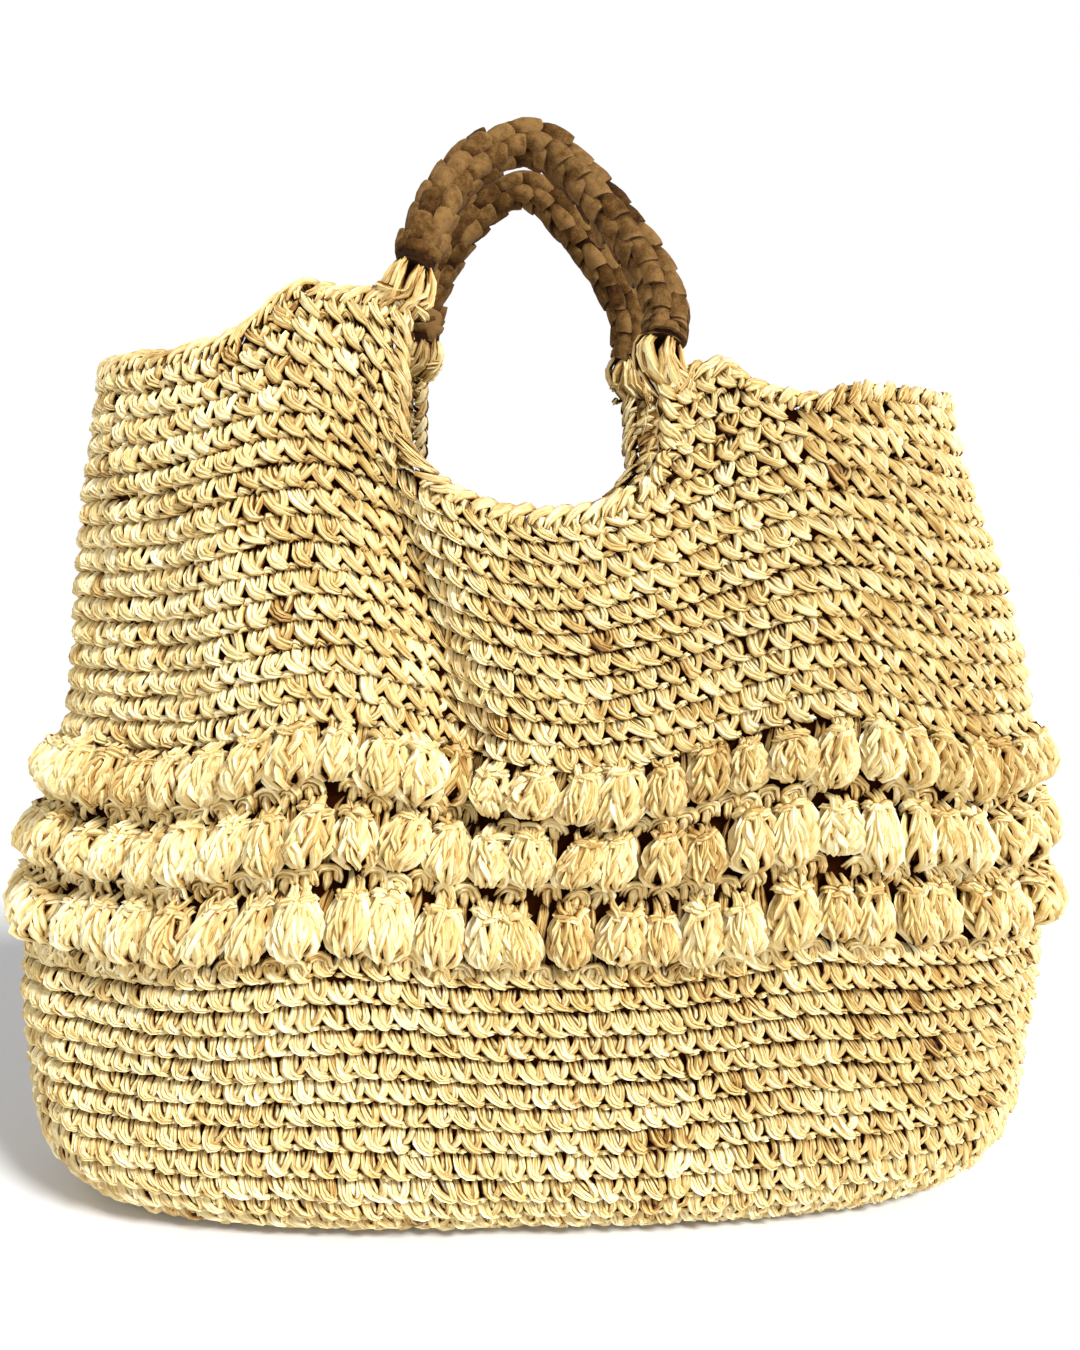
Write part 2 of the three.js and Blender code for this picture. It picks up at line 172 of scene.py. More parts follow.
class Surface:
    """The outer face as a fine table, so that a million points can be placed quickly."""

    TURNS, LOWEST, HIGHEST, STEP = 1800, -57.0, 410.0, 1.5

    def __init__(self):
        self.turns = np.linspace(0, 2 * np.pi, self.TURNS, endpoint=False)
        self.cloths = np.arange(self.LOWEST, self.HIGHEST, self.STEP)
        turn, cloth = self.turns[:, None], self.cloths[None, :]
        points = outer_point(turn, cloth)
        self.heights = points[..., 2]
        ahead, behind = np.roll(points, -3, 0), np.roll(points, 3, 0)
        self.normals = unit(np.cross(ahead - behind, np.gradient(points, axis=1)))
        self.normals[:, self.cloths < 0] = (0, 0, -1)
        # A hand-made wall is never even: soft waves of about a millimetre, none at the base.
        wave = np.zeros((self.TURNS, len(self.cloths)))
        for count in range(7, 27, 2):
            phase, slope = rng.uniform(0, 6.28), rng.uniform(-0.06, 0.06)
            wave += np.sin(count * turn + slope * cloth + phase) * 2.2 / count**0.5
        wave *= 0.45 * smoothstep(cloth, 10, 70)
        self.points = points + self.normals * wave[..., None]

    def at(self, turn, cloth, out):
        """Points `out` mm off the surface."""
        i = np.mod(turn, 2 * np.pi) / (2 * np.pi) * self.TURNS
        j = np.clip((cloth - self.LOWEST) / self.STEP, 0, len(self.cloths) - 1.001)
        i0, j0 = i.astype(int) % self.TURNS, j.astype(int)
        fi, fj = (i - np.floor(i))[..., None], (j - j0)[..., None]
        i1 = (i0 + 1) % self.TURNS

        def mix(table):
            low = table[i0, j0] * (1 - fi) + table[i1, j0] * fi
            high = table[i0, j0 + 1] * (1 - fi) + table[i1, j0 + 1] * fi
            return low * (1 - fj) + high * fj

        return mix(self.points) + unit(mix(self.normals)) * out[..., None]

    def length_round(self, cloth):
        """The length round the bag at `cloth`, up to each turn of the table and all the way."""
        ring = outer_point(self.turns, np.full(self.TURNS, cloth))
        return length_along(np.vstack([ring, ring[:1]]))

    def round_of(self, cloth, count=None):
        """The turns of a round's evenly spaced stitches, and the turn that each one takes up."""
        length = self.length_round(cloth)
        count = count or int(round(length[-1] / STITCH))
        turns = np.append(self.turns, 2 * np.pi)
        edges = np.interp(np.arange(count + 1) / count * length[-1], length, turns)
        return (edges[:-1] + edges[1:]) / 2, np.diff(edges)

    def wing_top(self):
        """The cloth length of the mouth's edge at every turn of the table."""
        rim = outer_point(self.turns, np.full(self.TURNS, TOP_OF_UPPER))
        across, y = rim[:, 0] - MOUTH_MIDDLE, rim[:, 1]
        out = np.abs(across) - EAR_FLAT
        left = across < 0
        side = np.where(left, LEFT_SIDE_RISE, RIGHT_SIDE_RISE)
        slope = np.where(left, LEFT_SLOPE, RIGHT_SLOPE)
        tilt = np.where(y < 0, HANDLES["front"].tilt, HANDLES["back"].tilt)
        ear = np.where(y < 0, HANDLES["front"].ear, HANDLES["back"].ear)
        top = ear - np.tan(tilt) * np.clip(across, -EAR_FLAT, EAR_FLAT)
        rise = top + (side - top) * smoothstep(out / slope, 0, 1)
        front_only = smoothstep(-y, 0, BASE_HALF_DEPTH / 2)
        right_wave = humps(out, (EAR_FILL, RIGHT_SHOULDER, RIGHT_DIP)) * front_only
        target = RIM_HEIGHT + rise + np.where(left, humps(out, (LEFT_SHOULDER,)), right_wave)
        return np.array([np.interp(z, column, self.cloths) for z, column in zip(target, self.heights)])


surface = Surface()
mouth = surface.wing_top()


def mouth_at(turn):
    return np.interp(np.mod(turn, 2 * np.pi), surface.turns, mouth, period=2 * np.pi)


def base_inset(cloth):
    """Pulls the strands of the base in, so that they rest on the floor and not below it."""
    return -0.9 - 3.7 * (1 - smoothstep(cloth, 0, 45))


# ---- strands ----


def spline(points, steps):
    """A Catmull-Rom curve through the points."""
    p = np.asarray(points, float)
    p = np.vstack([2 * p[0] - p[1], p, 2 * p[-1] - p[-2]])
    t = np.linspace(0, len(p) - 3 - 1e-6, steps)
    k = t.astype(int)
    f = (t - k)[:, None]
    a, b, c, d = p[k], p[k + 1], p[k + 2], p[k + 3]
    return 0.5 * (2 * b + (c - a) * f + (2 * a - 5 * b + 4 * c - d) * f**2 + (3 * b - a - 3 * c + d) * f**3)


def tube_faces(rings, sides):
    """The quads round a closed tube, and the triangles that cap its ends."""
    i, j = np.meshgrid(np.arange(rings - 1), np.arange(sides), indexing="ij")
    k = (j + 1) % sides
    quads = np.stack([i * sides + j, i * sides + k, (i + 1) * sides + k, (i + 1) * sides + j], -1)
    fan = np.arange(1, sides - 1)
    first = np.stack([0 * fan, fan + 1, fan], -1)
    last = np.stack([0 * fan, fan, fan + 1], -1) + (rings - 1) * sides
    return quads.reshape(-1, 4), np.vstack([first, last])


def slab_faces(rows, cols):
    """The quads of a thin slab: a grid of points, the same grid again below it and the wall round both."""
    i, j = np.meshgrid(np.arange(rows - 1), np.arange(cols - 1), indexing="ij")
    a = i * cols + j
    top = np.stack([a, a + cols, a + cols + 1, a + 1], -1).reshape(-1, 4)
    rim = np.concatenate([
        np.arange(cols), cols * np.arange(1, rows) + cols - 1,
        (rows - 1) * cols + np.arange(cols - 2, -1, -1), cols * np.arange(rows - 2, 0, -1),
    ])
    after = np.roll(rim, -1)
    wall = np.stack([rim, after, after + rows * cols, rim + rows * cols], -1)
    return np.vstack([top, top[:, ::-1] + rows * cols, wall])


def ribbon(points, width, thick=1.6, steps=6, top=5, taper=0.5, facing=(0, 0, 1)):
    """A creased ribbon along the points: vertices, quads, triangles and (across, along, strand, edge),
    where edge is painted crease shade.
    """
    path = spline(points, steps)
    tangent = unit(np.gradient(path, axis=0))
    side = unit(np.cross(tangent, np.broadcast_to(np.asarray(facing, float), path.shape)))
    up = np.cross(side, tangent)
    u = np.append(np.linspace(-1, 1, top), 0)
    n = len(u)
    over = np.arange(n) < top
    inner = over & (np.abs(u) < 0.99)
    ridge = inner & (np.arange(n) % 2 == rng.integers(2))
    crease = np.where(ridge, 1.0, rng.uniform(0.15, 0.5, n))
    arch = np.sqrt(np.maximum(1 - u**2, 0))
    rise = np.where(inner, 0.75 * crease * (0.4 + 0.6 * arch), 0) - np.where(over, 0, 0.4)
    along = np.linspace(0, 1, steps)
    swell = taper + (1 - taper) * np.sin(np.pi * np.clip(along * 0.9 + 0.05, 0, 1)) ** 0.7
    wander = np.where(inner, 1, 0.35) * rng.normal(0, 0.09, (steps, n))
    across = ((u[None, :] + wander) * (width / 2 * swell)[:, None])[:, :, None] * side[:, None, :]
    height = rise[None, :] * (thick * (0.5 + 0.5 * swell))[:, None] * rng.uniform(0.8, 1.2, (steps, n))
    verts = (path[:, None, :] + across + height[:, :, None] * up[:, None, :]).reshape(-1, 3)
    # Painted crease shade: none on the ridges, some in the valleys, more at the rims and most underneath.
    shade = np.where(ridge, 0.0, np.where(inner, 0.45, np.where(over, 0.8, 1.0)))
    # More painted shade towards both ends of the strand, where it tucks into the cloth.
    ends = np.clip(np.abs(along - 0.5) * 2 - 0.6, 0, 1)[:, None]
    coords = np.stack([
        np.tile(u * width / 2, steps),
        np.repeat(length_along(path), n),
        np.full(steps * n, rng.uniform(0, 60)),
        np.clip(shade[None, :] + ends, 0, 1).ravel(),
    ], -1)
    return verts, *tube_faces(steps, n), coords


def merged(parts):
    """Several meshes as one."""
    verts, quads, tris, *values = zip(*parts)
    starts = np.cumsum([0, *map(len, verts)])
    quads, tris = ([faces + start for faces, start in zip(kind, starts)] for kind in (quads, tris))
    return [np.concatenate(arrays) for arrays in (verts, quads, tris, *values)]


def lay(template, turn, spread, cloth, pitch, heights=None, tint=None, sway=0.17):
    """Copies of a template, in mm (along, up, out), laid on the bag at each (turn, cloth)."""
    verts, quads, tris, coords = template
    n = len(turn)
    heights = np.ones(n) if heights is None else heights
    shear = rng.normal(0, sway, n)[:, None]
    grow = rng.uniform(0.88, 1.1, n)[:, None]
    out_scale = rng.uniform(0.85, 1.15, n)[:, None]
    along = (verts[None, :, 0] + shear * verts[None, :, 1]) * grow
    up = verts[None, :, 1] * rng.uniform(0.84, 1.0, n)[:, None] + rng.normal(0, 0.45, n)[:, None]
    t = turn[:, None] + along / pitch * spread[:, None]
    s = cloth[:, None] + up * heights[:, None]
    points = surface.at(t, s, verts[None, :, 2] * out_scale + base_inset(s))
    coords = np.broadcast_to(coords, (n, *coords.shape)).copy()
    coords[..., 2] += rng.uniform(0, 400, n)[:, None]
    tint = rng.normal(0, 1, n) if tint is None else tint
    shift = np.arange(n)[:, None, None] * len(verts)
    quads, tris = ((faces[None] + shift).reshape(-1, faces.shape[1]) for faces in (quads, tris))
    return points.reshape(-1, 3), quads, tris, coords.reshape(-1, 4), np.repeat(tint, len(verts))


def placed(name, data):
    obj = bpy.data.objects.new(name, data)
    bpy.context.scene.collection.objects.link(obj)
    return obj


def new_piece(name, data, material, slot):
    """A mesh object in metres, with its strand coordinates, its painted shade (edge) and its tint as
    attributes.
    """
    verts, quads, tris, coords, tint = data
    mesh = bpy.data.meshes.new(name)
    mesh.vertices.add(len(verts))
    mesh.vertices.foreach_set("co", (verts * MM).astype(np.float32).ravel())
    loops = np.concatenate([quads.ravel(), tris.ravel()]).astype(np.int32)
    mesh.loops.add(len(loops))
    mesh.loops.foreach_set("vertex_index", loops)
    starts = np.concatenate([np.arange(len(quads)) * 4, 4 * len(quads) + np.arange(len(tris)) * 3])
    mesh.polygons.add(len(starts))
    mesh.polygons.foreach_set("loop_start", starts.astype(np.int32))
    mesh.update(calc_edges=True)
    mesh.validate()
    smooth = slot == "suede"
    mesh.polygons.foreach_set("use_smooth", np.full(len(starts), smooth))
    if smooth:
        mesh.set_sharp_from_angle(angle=math.radians(48))
    strand = mesh.attributes.new("strand", "FLOAT_VECTOR", "POINT")
    strand.data.foreach_set("vector", coords[:, :3].astype(np.float32).ravel())
    # edge carries the painted shade of creases, undersides and dark fillings.
    for label, values in (("edge", coords[:, 3]), ("tint", tint)):
        mesh.attributes.new(label, "FLOAT", "POINT").data.foreach_set("value", values.astype(np.float32))
    mesh.materials.append(material)
    obj = placed(name, mesh)
    return obj


def wobble(points, amount):
    return np.asarray(points, float) + rng.normal(0, amount, (len(points), 3)) * (1, 1, 0.6)


def in_stitch(points, amount):
    """A strand's points from stitch pitches, row heights and mm out into mm, shaken a little."""
    return wobble(np.array(points) * (STITCH, ROW, 1), amount)


# ---- stitch templates, in mm: along the round, up, out of the cloth ----


def stitch_template():
    """A single crochet: two fanned arms that sweep down to the right, a short arm, a filler and a knot."""
    broad = [(-0.5, 0.62, -2.6), (-0.42, 0.34, 0.4), (-0.27, 0.0, 2.0), (-0.02, -0.28, 2.5),
             (0.26, -0.43, 1.5), (0.48, -0.5, -1.4)]
    second = [(-0.22, 0.64, -2.6), (-0.16, 0.36, 0.6), (-0.06, 0.06, 1.9), (0.12, -0.2, 2.2),
              (0.34, -0.36, 1.2), (0.52, -0.44, -1.4)]
    short = [(0.02, -0.4, -0.8), (0.22, -0.22, 1.3), (0.35, 0.06, 2.0), (0.4, 0.36, 1.0),
             (0.34, 0.64, -2.2)]
    filler = [(0.02, 0.6, -2.2), (0.08, 0.3, 0.2), (0.16, 0.0, 0.9), (0.22, -0.2, -0.4)]
    knot = [(-0.62, -0.58, -1.8), (-0.5, -0.46, 1.2), (-0.34, -0.42, 1.5), (-0.2, -0.54, -1.2)]
    return merged([
        ribbon(in_stitch(broad, 0.35), rng.uniform(3.3, 4.2), 2.0, steps=7, taper=0.42),
        ribbon(in_stitch(second, 0.35), rng.uniform(2.5, 3.3), 1.9, steps=7, taper=0.42),
        ribbon(in_stitch(short, 0.35), rng.uniform(3.0, 3.9), 1.9, steps=6),
        ribbon(in_stitch(filler, 0.35), 2.4, 1.5, steps=5, top=4),
        ribbon(in_stitch(knot, 0.35), rng.uniform(2.6, 3.4), 1.8, steps=5, taper=0.6),
    ])


def lining_template():
    """The back of a stitch, seen inside the bag: two bars and a leaning strand."""
    low = [(-0.56, -0.34, -3.2), (-0.2, -0.22, -4.1), (0.2, -0.2, -4.2), (0.56, -0.32, -3.3)]
    bar = [(-0.58, 0.12, -3.2), (-0.25, 0.26, -4.6), (0.2, 0.24, -4.7), (0.56, 0.08, -3.3)]
    lean = [(0.16, -0.58, -3.0), (0.04, -0.2, -4.6), (-0.1, 0.15, -4.9), (-0.16, 0.56, -3.2)]
    return merged([
        ribbon(in_stitch(points, 0.3), width, 1.5, steps=steps, top=4, facing=(0, 0, -1))
        for points, width, steps in ((low, 5.0, 4), (bar, 4.6, 5), (lean, 3.8, 5))
    ])


def bobble_point(longitude, up, out=0.0):
    """A point on a bobble's puffed face: longitude in degrees, up in mm."""
    level = np.clip(up / BOBBLE_HALF_HEIGHT, -1, 1)
    girth = math.sqrt(max(1 - level**2, 0.0)) ** 0.8 * (1 - 0.26 * level)
    angle = math.radians(longitude)
    wide = (BOBBLE_HALF_WIDTH + out) * girth * math.sin(angle)
    deep = (BOBBLE_DEPTH + out) * girth * math.cos(angle)
    return wide, up, 0.5 + deep


def bobble_columns():
    """The front of a bobble: three or four columns of strands that slant in from both sides in turn."""
    strands = []
    columns = int(rng.integers(3, 5))
    pitch, half = 156 / columns, 84 / columns  # degrees round the bobble
    for column in range(columns):
        centre = (column - (columns - 1) / 2) * pitch + rng.uniform(-5, 5)
        up = 7.5 + rng.uniform(-2, 1)
        side = half
        while up > 3.5 - BOBBLE_HALF_HEIGHT:
            path = [
                bobble_point(centre + side * 0.95, up + 6.2, -1.4),
                bobble_point(centre + side * 0.85, up + 3.0, 0.7),
                bobble_point(centre + side * 0.55, up - 1.0, 1.6),
                bobble_point(centre + side * 0.15, max(up - 5.0, -11.6), 0.9),
                bobble_point(centre - side * 0.15, max(up - 8.4, -12.0), -1.4),
            ]
            facing = unit(np.mean(path, axis=0) * (1.2, 0.5, 1))
            path = wobble(path, 0.4)
            strands.append(ribbon(path, rng.uniform(3.8, 5.2), 2.9, steps=7, taper=0.3, facing=facing))
            up -= rng.uniform(3.5, 4.7)
            side = -side
    return strands


def bobble_neck():
    """Short knotted loops round a bobble's neck, each across a part of it."""
    strands = []
    for knot in range(5):
        start = -100 + 36 * knot + rng.uniform(-12, 12)
        height = rng.uniform(6.4, 10.4)
        rise = rng.uniform(-4.2, 4.2)
        path = []
        for share in (0, 0.25, 0.5, 0.75, 1):
            arch = math.sin(math.pi * share)
            x, _, z = bobble_point(start + 74 * share, 7.6, 2.4 * arch - 1.0)
            path.append((x, height + rise * (share - 0.5) + 1.6 * arch, z))
        facing = [(p[0], 0.4, p[2]) for p in spline(path, 7)]
        path = wobble(path, 0.5)
        strands.append(ribbon(path, rng.uniform(3.4, 4.6), 2.3, steps=7, taper=0.45, facing=facing))
    return strands


def bobble_ties():
    """Three strands from the top of a bobble into the round above."""
    strands = []
    for lean in (-1, 0, 1):
        swing = rng.uniform(-2, 2)
        path = [(lean * 2.6, 7.6, 6.6), (lean * 2.2 + swing * 0.3, 10.6, 6.6),
                (lean * 3.0 + swing, 13.2, 3.6), (lean * 3.4 + swing, 15.6, -1.5)]
        strands.append(ribbon(wobble(path, 0.5), rng.uniform(2.8, 3.8), 1.8, steps=6))
    return strands


def bobble_template():
    """A puff stitch: plaited columns over a round core, drawn together under a wrapped neck."""
    return merged([*bobble_columns(), *bobble_neck(), *bobble_ties(), bobble_core()])


def bobble_core():
    """The filled middle of a bobble, which closes the gaps between its strands, painted fully dark as the
    shade in them.
    """
    rings, sides = 7, 10
    verts = []
    for i in range(rings):
        up = (1 - 2 * (i + 0.5) / rings) * (BOBBLE_HALF_HEIGHT - 1.5)
        for j in range(sides):
            x, y, z = bobble_point(360 * j / sides, up, -1.2)
            verts.append((x, y, max(z, -1.0) - 0.6))
    verts = np.array(verts)
    quads, tris = tube_faces(rings, sides)
    # Painted shade: edge 1 darkens the core everywhere.
    coords = np.column_stack([verts[:, :2], np.full(len(verts), 5.0), np.ones(len(verts))])
    return verts, quads[:, [0, 3, 2, 1]], tris[:, [0, 2, 1]], coords


def post_template():
    """The plain stitch between two bobbles: two upright strands."""
    strands = []
    for side in (-1, 1):
        path = [(side * 1.0, -13.5, -2.5), (side * 1.3, -9, 0.0), (side * 1.1, 0, 0.4),
                (side * 1.3, 8, 0.4), (side * 1.0, 13, -2.5)]
        strands.append(ribbon(wobble(path, 0.4), 2.8, 1.8, steps=7))
    return merged(strands)


def arch_template():
    """The small chain arch that ties two bobbles together in a spacer round."""
    strands = []
    for inner in (0, 1):
        wide, high, out = 5.0 - 1.6 * inner, 4.4 - 1.7 * inner, 3.2 - 0.9 * inner
        path = []
        for angle in (-75, -45, 0, 45, 75, 100):
            rad = math.radians(angle)
            drop = 3.5 if abs(angle) > 70 else 1.5
            path.append((wide * math.sin(rad), high * math.cos(rad) - drop, out))
        path[0] = (*path[0][:2], -1.0)
        path[-1] = (*path[-1][:2], -1.5)
        strands.append(ribbon(wobble(path, 0.35), 2.6, 1.7, steps=9, top=4, taper=0.6))
    foot = [(0.4, 1.0, -1.5), (0.1, -0.6, 1.8), (-0.3, -4.0, 2.0), (0.2, -7.5, -1.0)]
    strands.append(ribbon(wobble(foot, 0.3), 3.8, 1.8, steps=5))
    return merged(strands)


# ---- rounds ----

STITCHES = [stitch_template() for _ in range(14)]
LININGS = [lining_template() for _ in range(6)]


def lay_all(kinds, turn, spread, cloth, pitch, heights=None, tint=None, **extra):
    """Lays copies of several templates, mixed at random."""
    pick = rng.integers(len(kinds), size=len(turn))
    out = []
    for i, kind in enumerate(kinds):
        here = pick == i
        if not here.any():
            continue
        tall = None if heights is None else heights[here]
        shade = None if tint is None else tint[here]
        out.append(lay(kind, turn[here], spread[here], cloth[here], pitch, tall, shade, **extra))
    return out


def row_tint(turn, cloth):
    """Neighbouring stitches come from the same raffia leaf, so the shade drifts along a round."""
    drift = np.sin(turn * 3.1 + cloth * 0.7) + np.sin(turn * 7.7 - cloth * 0.31)
    tint = 0.4 * drift + rng.normal(0, 0.9, len(turn))
    return np.where(rng.random(len(turn)) < 0.01, -4.5, tint)


def crochet(turn, spread, cloth, height, fill=1.0):
    """Plain stitches with their linings. A fill below 1 leaves gaps between the rounds."""
    tint = row_tint(turn, cloth)
    heights = height / ROW
    return (lay_all(STITCHES, turn, spread, cloth, STITCH, heights * fill, tint)
            + lay_all(LININGS, turn, spread, cloth, STITCH, heights, tint))


def shade_sheet(turns, low, high):
    """Painted shade inside the crochet: a thin dark sheet in the wall between two cloth lengths at each
    turn, which shows through the gaps between stitches.
    """
    rows = max(int(np.max(high - low) / 8), 2)
    share = np.linspace(0, 1, rows + 1)[None, :]
    cloth = low[:, None] + (high - low)[:, None] * share
    turn = np.broadcast_to(turns[:, None], cloth.shape).ravel()
    cloth = cloth.ravel()
    faces = [surface.at(turn, cloth, out + base_inset(cloth) * 0.3) for out in (-2.4, -3.2)]
    # Both faces are painted shade: near black-brown outside, for the holes between stitches, and a shadowed
    # raffia tone inside.
    coords = np.zeros((2 * cloth.size, 4))
    coords[:, 3] = np.repeat((1.0, 0.7), cloth.size)
    tint = np.repeat((-9.0, -1.5), cloth.size)
    return np.vstack(faces), slab_faces(len(turns), rows + 1), np.zeros((0, 3), int), coords, tint


# The sheet of painted shade for one sector of a band.
def sector_shade_sheet(low, high, sector, sectors):
    turns = np.linspace(sector, sector + 1, max(160 // sectors, 24)) / sectors * 2 * np.pi
    return shade_sheet(turns, np.full(len(turns), low), np.full(len(turns), high))


def sector_of(turn, sectors):
    return (np.mod(turn, 2 * np.pi) / (2 * np.pi) * sectors).astype(int)


def band(low, high, rows, sectors, fill=1.0):
    """Rounds of plain stitches between two cloth lengths, as one list of parts for each sector."""
    height = (high - low) / rows
    # Each sector starts with its sheet of painted shade.
    out = [[sector_shade_sheet(low, high, sector, sectors)] for sector in range(sectors)]
    for row in range(rows):
        cloth = low + (row + 0.5) * height
        turn, spread = surface.round_of(cloth)
        turn = turn + spread * 0.37 * (row % 3)
        for sector in range(sectors):
            here = sector_of(turn, sectors) == sector
            level, tall = np.full(here.sum(), cloth), np.full(here.sum(), height)
            out[sector] += crochet(turn[here], spread[here], level, tall, fill * rng.uniform(0.93, 1.05))
    return out


def bobble_round(low):
    """One bobble round, with its posts and the arches below it, as two halves."""
    bobbles = [bobble_template() for _ in range(8)]
    posts = [post_template() for _ in range(4)]
    arches = [arch_template() for _ in range(6)]
    cloth = low + BOBBLE_LENGTH / 2
    turn, spread = surface.round_of(cloth, BOBBLES)
    pitch = surface.length_round(cloth)[-1] / BOBBLES
    turn = turn + spread * rng.normal(0, 0.07, len(turn))
    halves = []
    for half in (0, 1):
        chosen = sector_of(turn, 2) == half
        t, s = turn[chosen], spread[chosen]
        level = np.full(len(t), cloth) + rng.normal(0, 0.9, len(t))
        foot = level - BOBBLE_LENGTH / 2
        between = t + s / 2
        parts = lay_all(bobbles, t, s, level, pitch, rng.uniform(0.9, 1.1, len(t)), sway=0.09)
        # The posts get a fixed darker tint: painted shade in the recesses between bobbles.
        parts += lay_all(posts, between, s, level, pitch, tint=np.full(len(t), -2.5))
        parts += lay_all(arches, between, s, foot - 1, pitch)
        some = rng.random(len(t)) < 0.6
        parts += lay_all(arches, t[some], s[some], foot[some] - 2.5, pitch)
        # The sheet of painted shade behind this half of the round.
        parts.append(sector_shade_sheet(low - SPACER_LENGTH, low + BOBBLE_LENGTH, half, 2))
        halves.append(parts)
    turn, spread = surface.round_of(cloth)
    for half in (0, 1):
        chosen = sector_of(turn, 2) == half
        t, s = turn[chosen], spread[chosen]
        for step in (-1, 0, 1):
            halves[half] += lay_all(LININGS, t, s, np.full(len(t), cloth + step * ROW), STITCH)
    return halves


def wing_turns(side, trim, count):
    """Turns round one side of the bag, from hand opening to hand opening."""
    middle = 0.0 if side > 0 else np.pi
    reach = np.radians(90 - OPENING_TURN) - trim
    return np.linspace(middle - reach, middle + reach, count)


def off_middle(turn):
    """Degrees from the middle of the nearer hand opening."""
    return np.abs((np.degrees(turn) % 180) - 90)


def wing(side):
    """The rows beside the hand openings, as many as fit below the mouth's edge at each place."""
    # A sheet of painted shade behind the wing's rows.
    shade_sheet_turns = wing_turns(side, 0.02, 160)
    parts = [shade_sheet(shade_sheet_turns, np.full(len(shade_sheet_turns), TOP_OF_UPPER), mouth_at(shade_sheet_turns) - 2)]
    rows_here = np.maximum(np.round((mouth - TOP_OF_UPPER) / ROW), 1)
    for row in range(int(rows_here.max())):
        turn, spread = surface.round_of(TOP_OF_UPPER + (row + 0.5) * ROW)
        turn = turn + spread * 0.41 * (row % 3)
        count = np.round(np.interp(np.mod(turn, 2 * np.pi), surface.turns, rows_here, period=2 * np.pi))
        beside = (np.cos(turn) * side > 0) & (off_middle(turn) > OPENING_TURN + 0.5)
        keep = beside & (count > row)
        turn, spread, count = turn[keep], spread[keep], count[keep]
        height = (mouth_at(turn) - TOP_OF_UPPER) / count
        parts += crochet(turn, spread, TOP_OF_UPPER + (row + 0.5) * height, height)
    return parts


# ---- edgings ----


def chain_template():
    """One link of the chain edging, in mm: along, away from the cloth, out."""
    outer = [(-5.6, -3.6, 1.6), (-2.8, -0.8, 2.7), (0.6, 1.6, 2.0), (4.2, 2.6, -0.4), (6.2, 1.4, -2.4)]
    inner = [(-5.4, -2.6, -6.2), (-2.6, 0.2, -6.4), (0.8, 1.9, -5.2), (4.0, 2.4, -3.0), (6.0, 1.2, -0.8)]
    loop = [(-1.6, -5.4, 1.2), (-0.8, -2.2, 2.5), (0.4, 0.9, 1.2), (1.0, 1.5, -2.4),
            (0.8, -0.8, -6.0), (0.2, -3.8, -6.2)]
    facing_loop = [(0, 0.2, 1), (0, 0.3, 1), (0, 1, 1), (0, 1, 0), (0, 0.6, -1), (0, 0, -1), (0, 0, -1)]
    return merged([
        ribbon(wobble(outer, 0.4), 4.3, 2.0, steps=7, top=6, facing=(0, 0.5, 1)),
        ribbon(wobble(inner, 0.4), 4.2, 1.8, steps=7, facing=(0, 0.7, -0.8)),
        ribbon(wobble(loop, 0.4), 3.6, 1.8, steps=7, facing=facing_loop),
    ])


CHAINS = [chain_template() for _ in range(8)]
LINK = 7.2


def chain_along(path, away, out):
    """Chain links along a path of points, with the directions away from the cloth and out of it."""
    length = length_along(path)
    count = int(round(length[-1] / LINK))
    parts = []
    for i in range(count):
        verts, quads, tris, coords = CHAINS[rng.integers(len(CHAINS))]
        s = (i + 0.5 + rng.normal(0, 0.06)) * length[-1] / count + verts[:, 0]
        s = np.clip(s, 0.5, length[-1] - 0.5)
        spot, up, normal = (
            np.stack([np.interp(s, length, column) for column in values.T], -1)
            for values in (path, away, out)
        )
        spot = spot + up * verts[:, 1:2] * rng.uniform(0.9, 1.15) + normal * verts[:, 2:3]
        shifted = coords + (0, 0, rng.uniform(0, 400), 0)
        parts.append((spot, quads, tris, shifted, np.full(len(verts), rng.normal(0, 0.9))))
    return parts


def direction_tables(turn, cloth, away_along, away_up):
    """Points on the outer face with unit vectors away from the cloth and out of it."""
    zero = np.zeros(len(turn))
    point = surface.at(turn, cloth, zero - 0.5)
    around = unit(surface.at(turn + 0.01, cloth, zero) - surface.at(turn - 0.01, cloth, zero))
    up = unit(surface.at(turn, cloth + 2, zero) - surface.at(turn, cloth - 2, zero))
    away = unit(around * away_along[:, None] + up * away_up[:, None])
    return point, away, np.cross(around, up)


def mouth_edging(side):
    """Chain over the top of one wing."""
    points = 200
    turn = wing_turns(side, 0, points)
    return chain_along(*direction_tables(turn, mouth_at(turn) + 1.5, np.zeros(points), np.ones(points)))


def opening_edging(face):
    """Chain down one ear, along the rim and up the other ear."""
    middle = np.radians(90 if face > 0 else 270)
    half = np.radians(OPENING_TURN)
    corner, points = 14.0, 40
    start, stop = (mouth_at(middle + end * half) + 3 for end in (-1, 1))
    ones = np.ones(points)
    along = np.linspace(-1, 1, 60)
    rim = TOP_OF_UPPER + 1.5 + corner * np.clip((np.abs(along) - 0.6) / 0.4, 0, 1) ** 2.2
    turn = middle + half * np.concatenate([-ones, along * 0.995, ones])
    down = np.linspace(start, TOP_OF_UPPER + corner, points)
    up = np.linspace(TOP_OF_UPPER + corner, stop, points)
    steep = np.clip((np.abs(np.concatenate([-ones, along, ones])) - 0.55) / 0.4, 0, 1)
    sign = np.concatenate([ones, -np.sign(along), -ones])
    cloth = np.concatenate([down, rim, up])
    return chain_along(*direction_tables(turn, cloth, sign * steep, 1 - steep * 0.98))


# ---- handles ----


